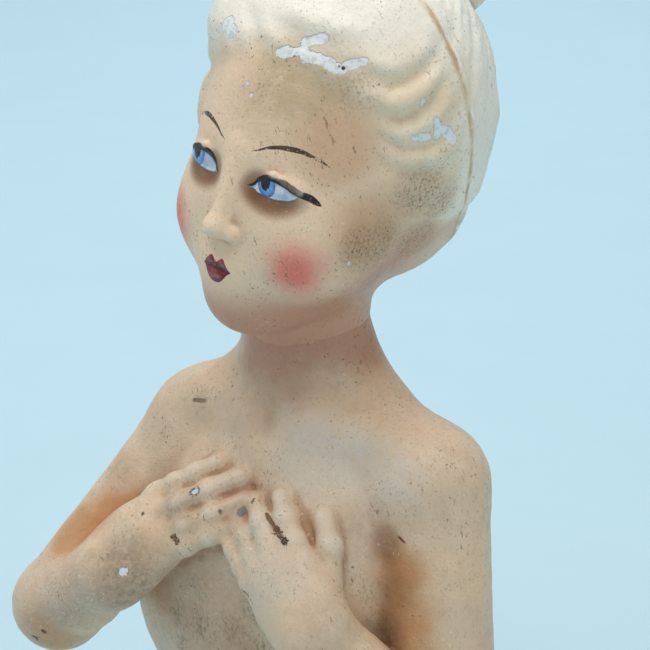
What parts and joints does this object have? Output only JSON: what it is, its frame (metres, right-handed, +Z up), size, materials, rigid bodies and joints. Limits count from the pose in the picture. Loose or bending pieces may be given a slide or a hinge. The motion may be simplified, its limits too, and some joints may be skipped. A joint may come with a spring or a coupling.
{
  "type": "painted plaster half-figure",
  "caption": "Free-standing painted plaster half-figure of a lady with pinned-up hair and both hands laid on the chest, hollow cast over a wire armature on a felted wooden base board.",
  "frame": {"origin": "middle of the underside of the felt, on the surface that the figure stands on", "axes": "+Z up through the head, -Y the way the chest faces, +X the figure's own left"},
  "size_m": [0.132, 0.0956, 0.2559],
  "materials": {
    "skin_paint": "aged peach skin paint over plaster, dull with a faint sheen",
    "hair_paint": "aged cream yellow hair paint over plaster, chipped to the white",
    "bare_plaster": "raw chalky white plaster",
    "steel": "dull iron wire and screws",
    "scrim": "open woven hessian soaked in plaster",
    "wood": "raw pine",
    "felt": "thin green felt"
  },
  "bodies": {
    "root": {"head_front_casting": "skin_paint", "head_back_casting": "hair_paint", "hair_bun_casting": "hair_paint", "torso_front_casting": "skin_paint", "torso_back_casting": "skin_paint", "right_forearm_casting": "skin_paint", "left_forearm_casting": "skin_paint", "neck_plaster_plug": "bare_plaster", "neck_rod": "steel", "right_elbow_wire": "steel", "left_elbow_wire": "steel", "bun_wire": "steel", "head_seam_scrim": "scrim", "torso_seam_scrim_left": "scrim", "torso_seam_scrim_right": "scrim", "base_board": "wood", "fixing_block_left": "wood", "fixing_block_right": "wood", "base_screw_left": "steel", "base_screw_right": "steel", "base_felt": "felt"}
  },
  "joints": []
}
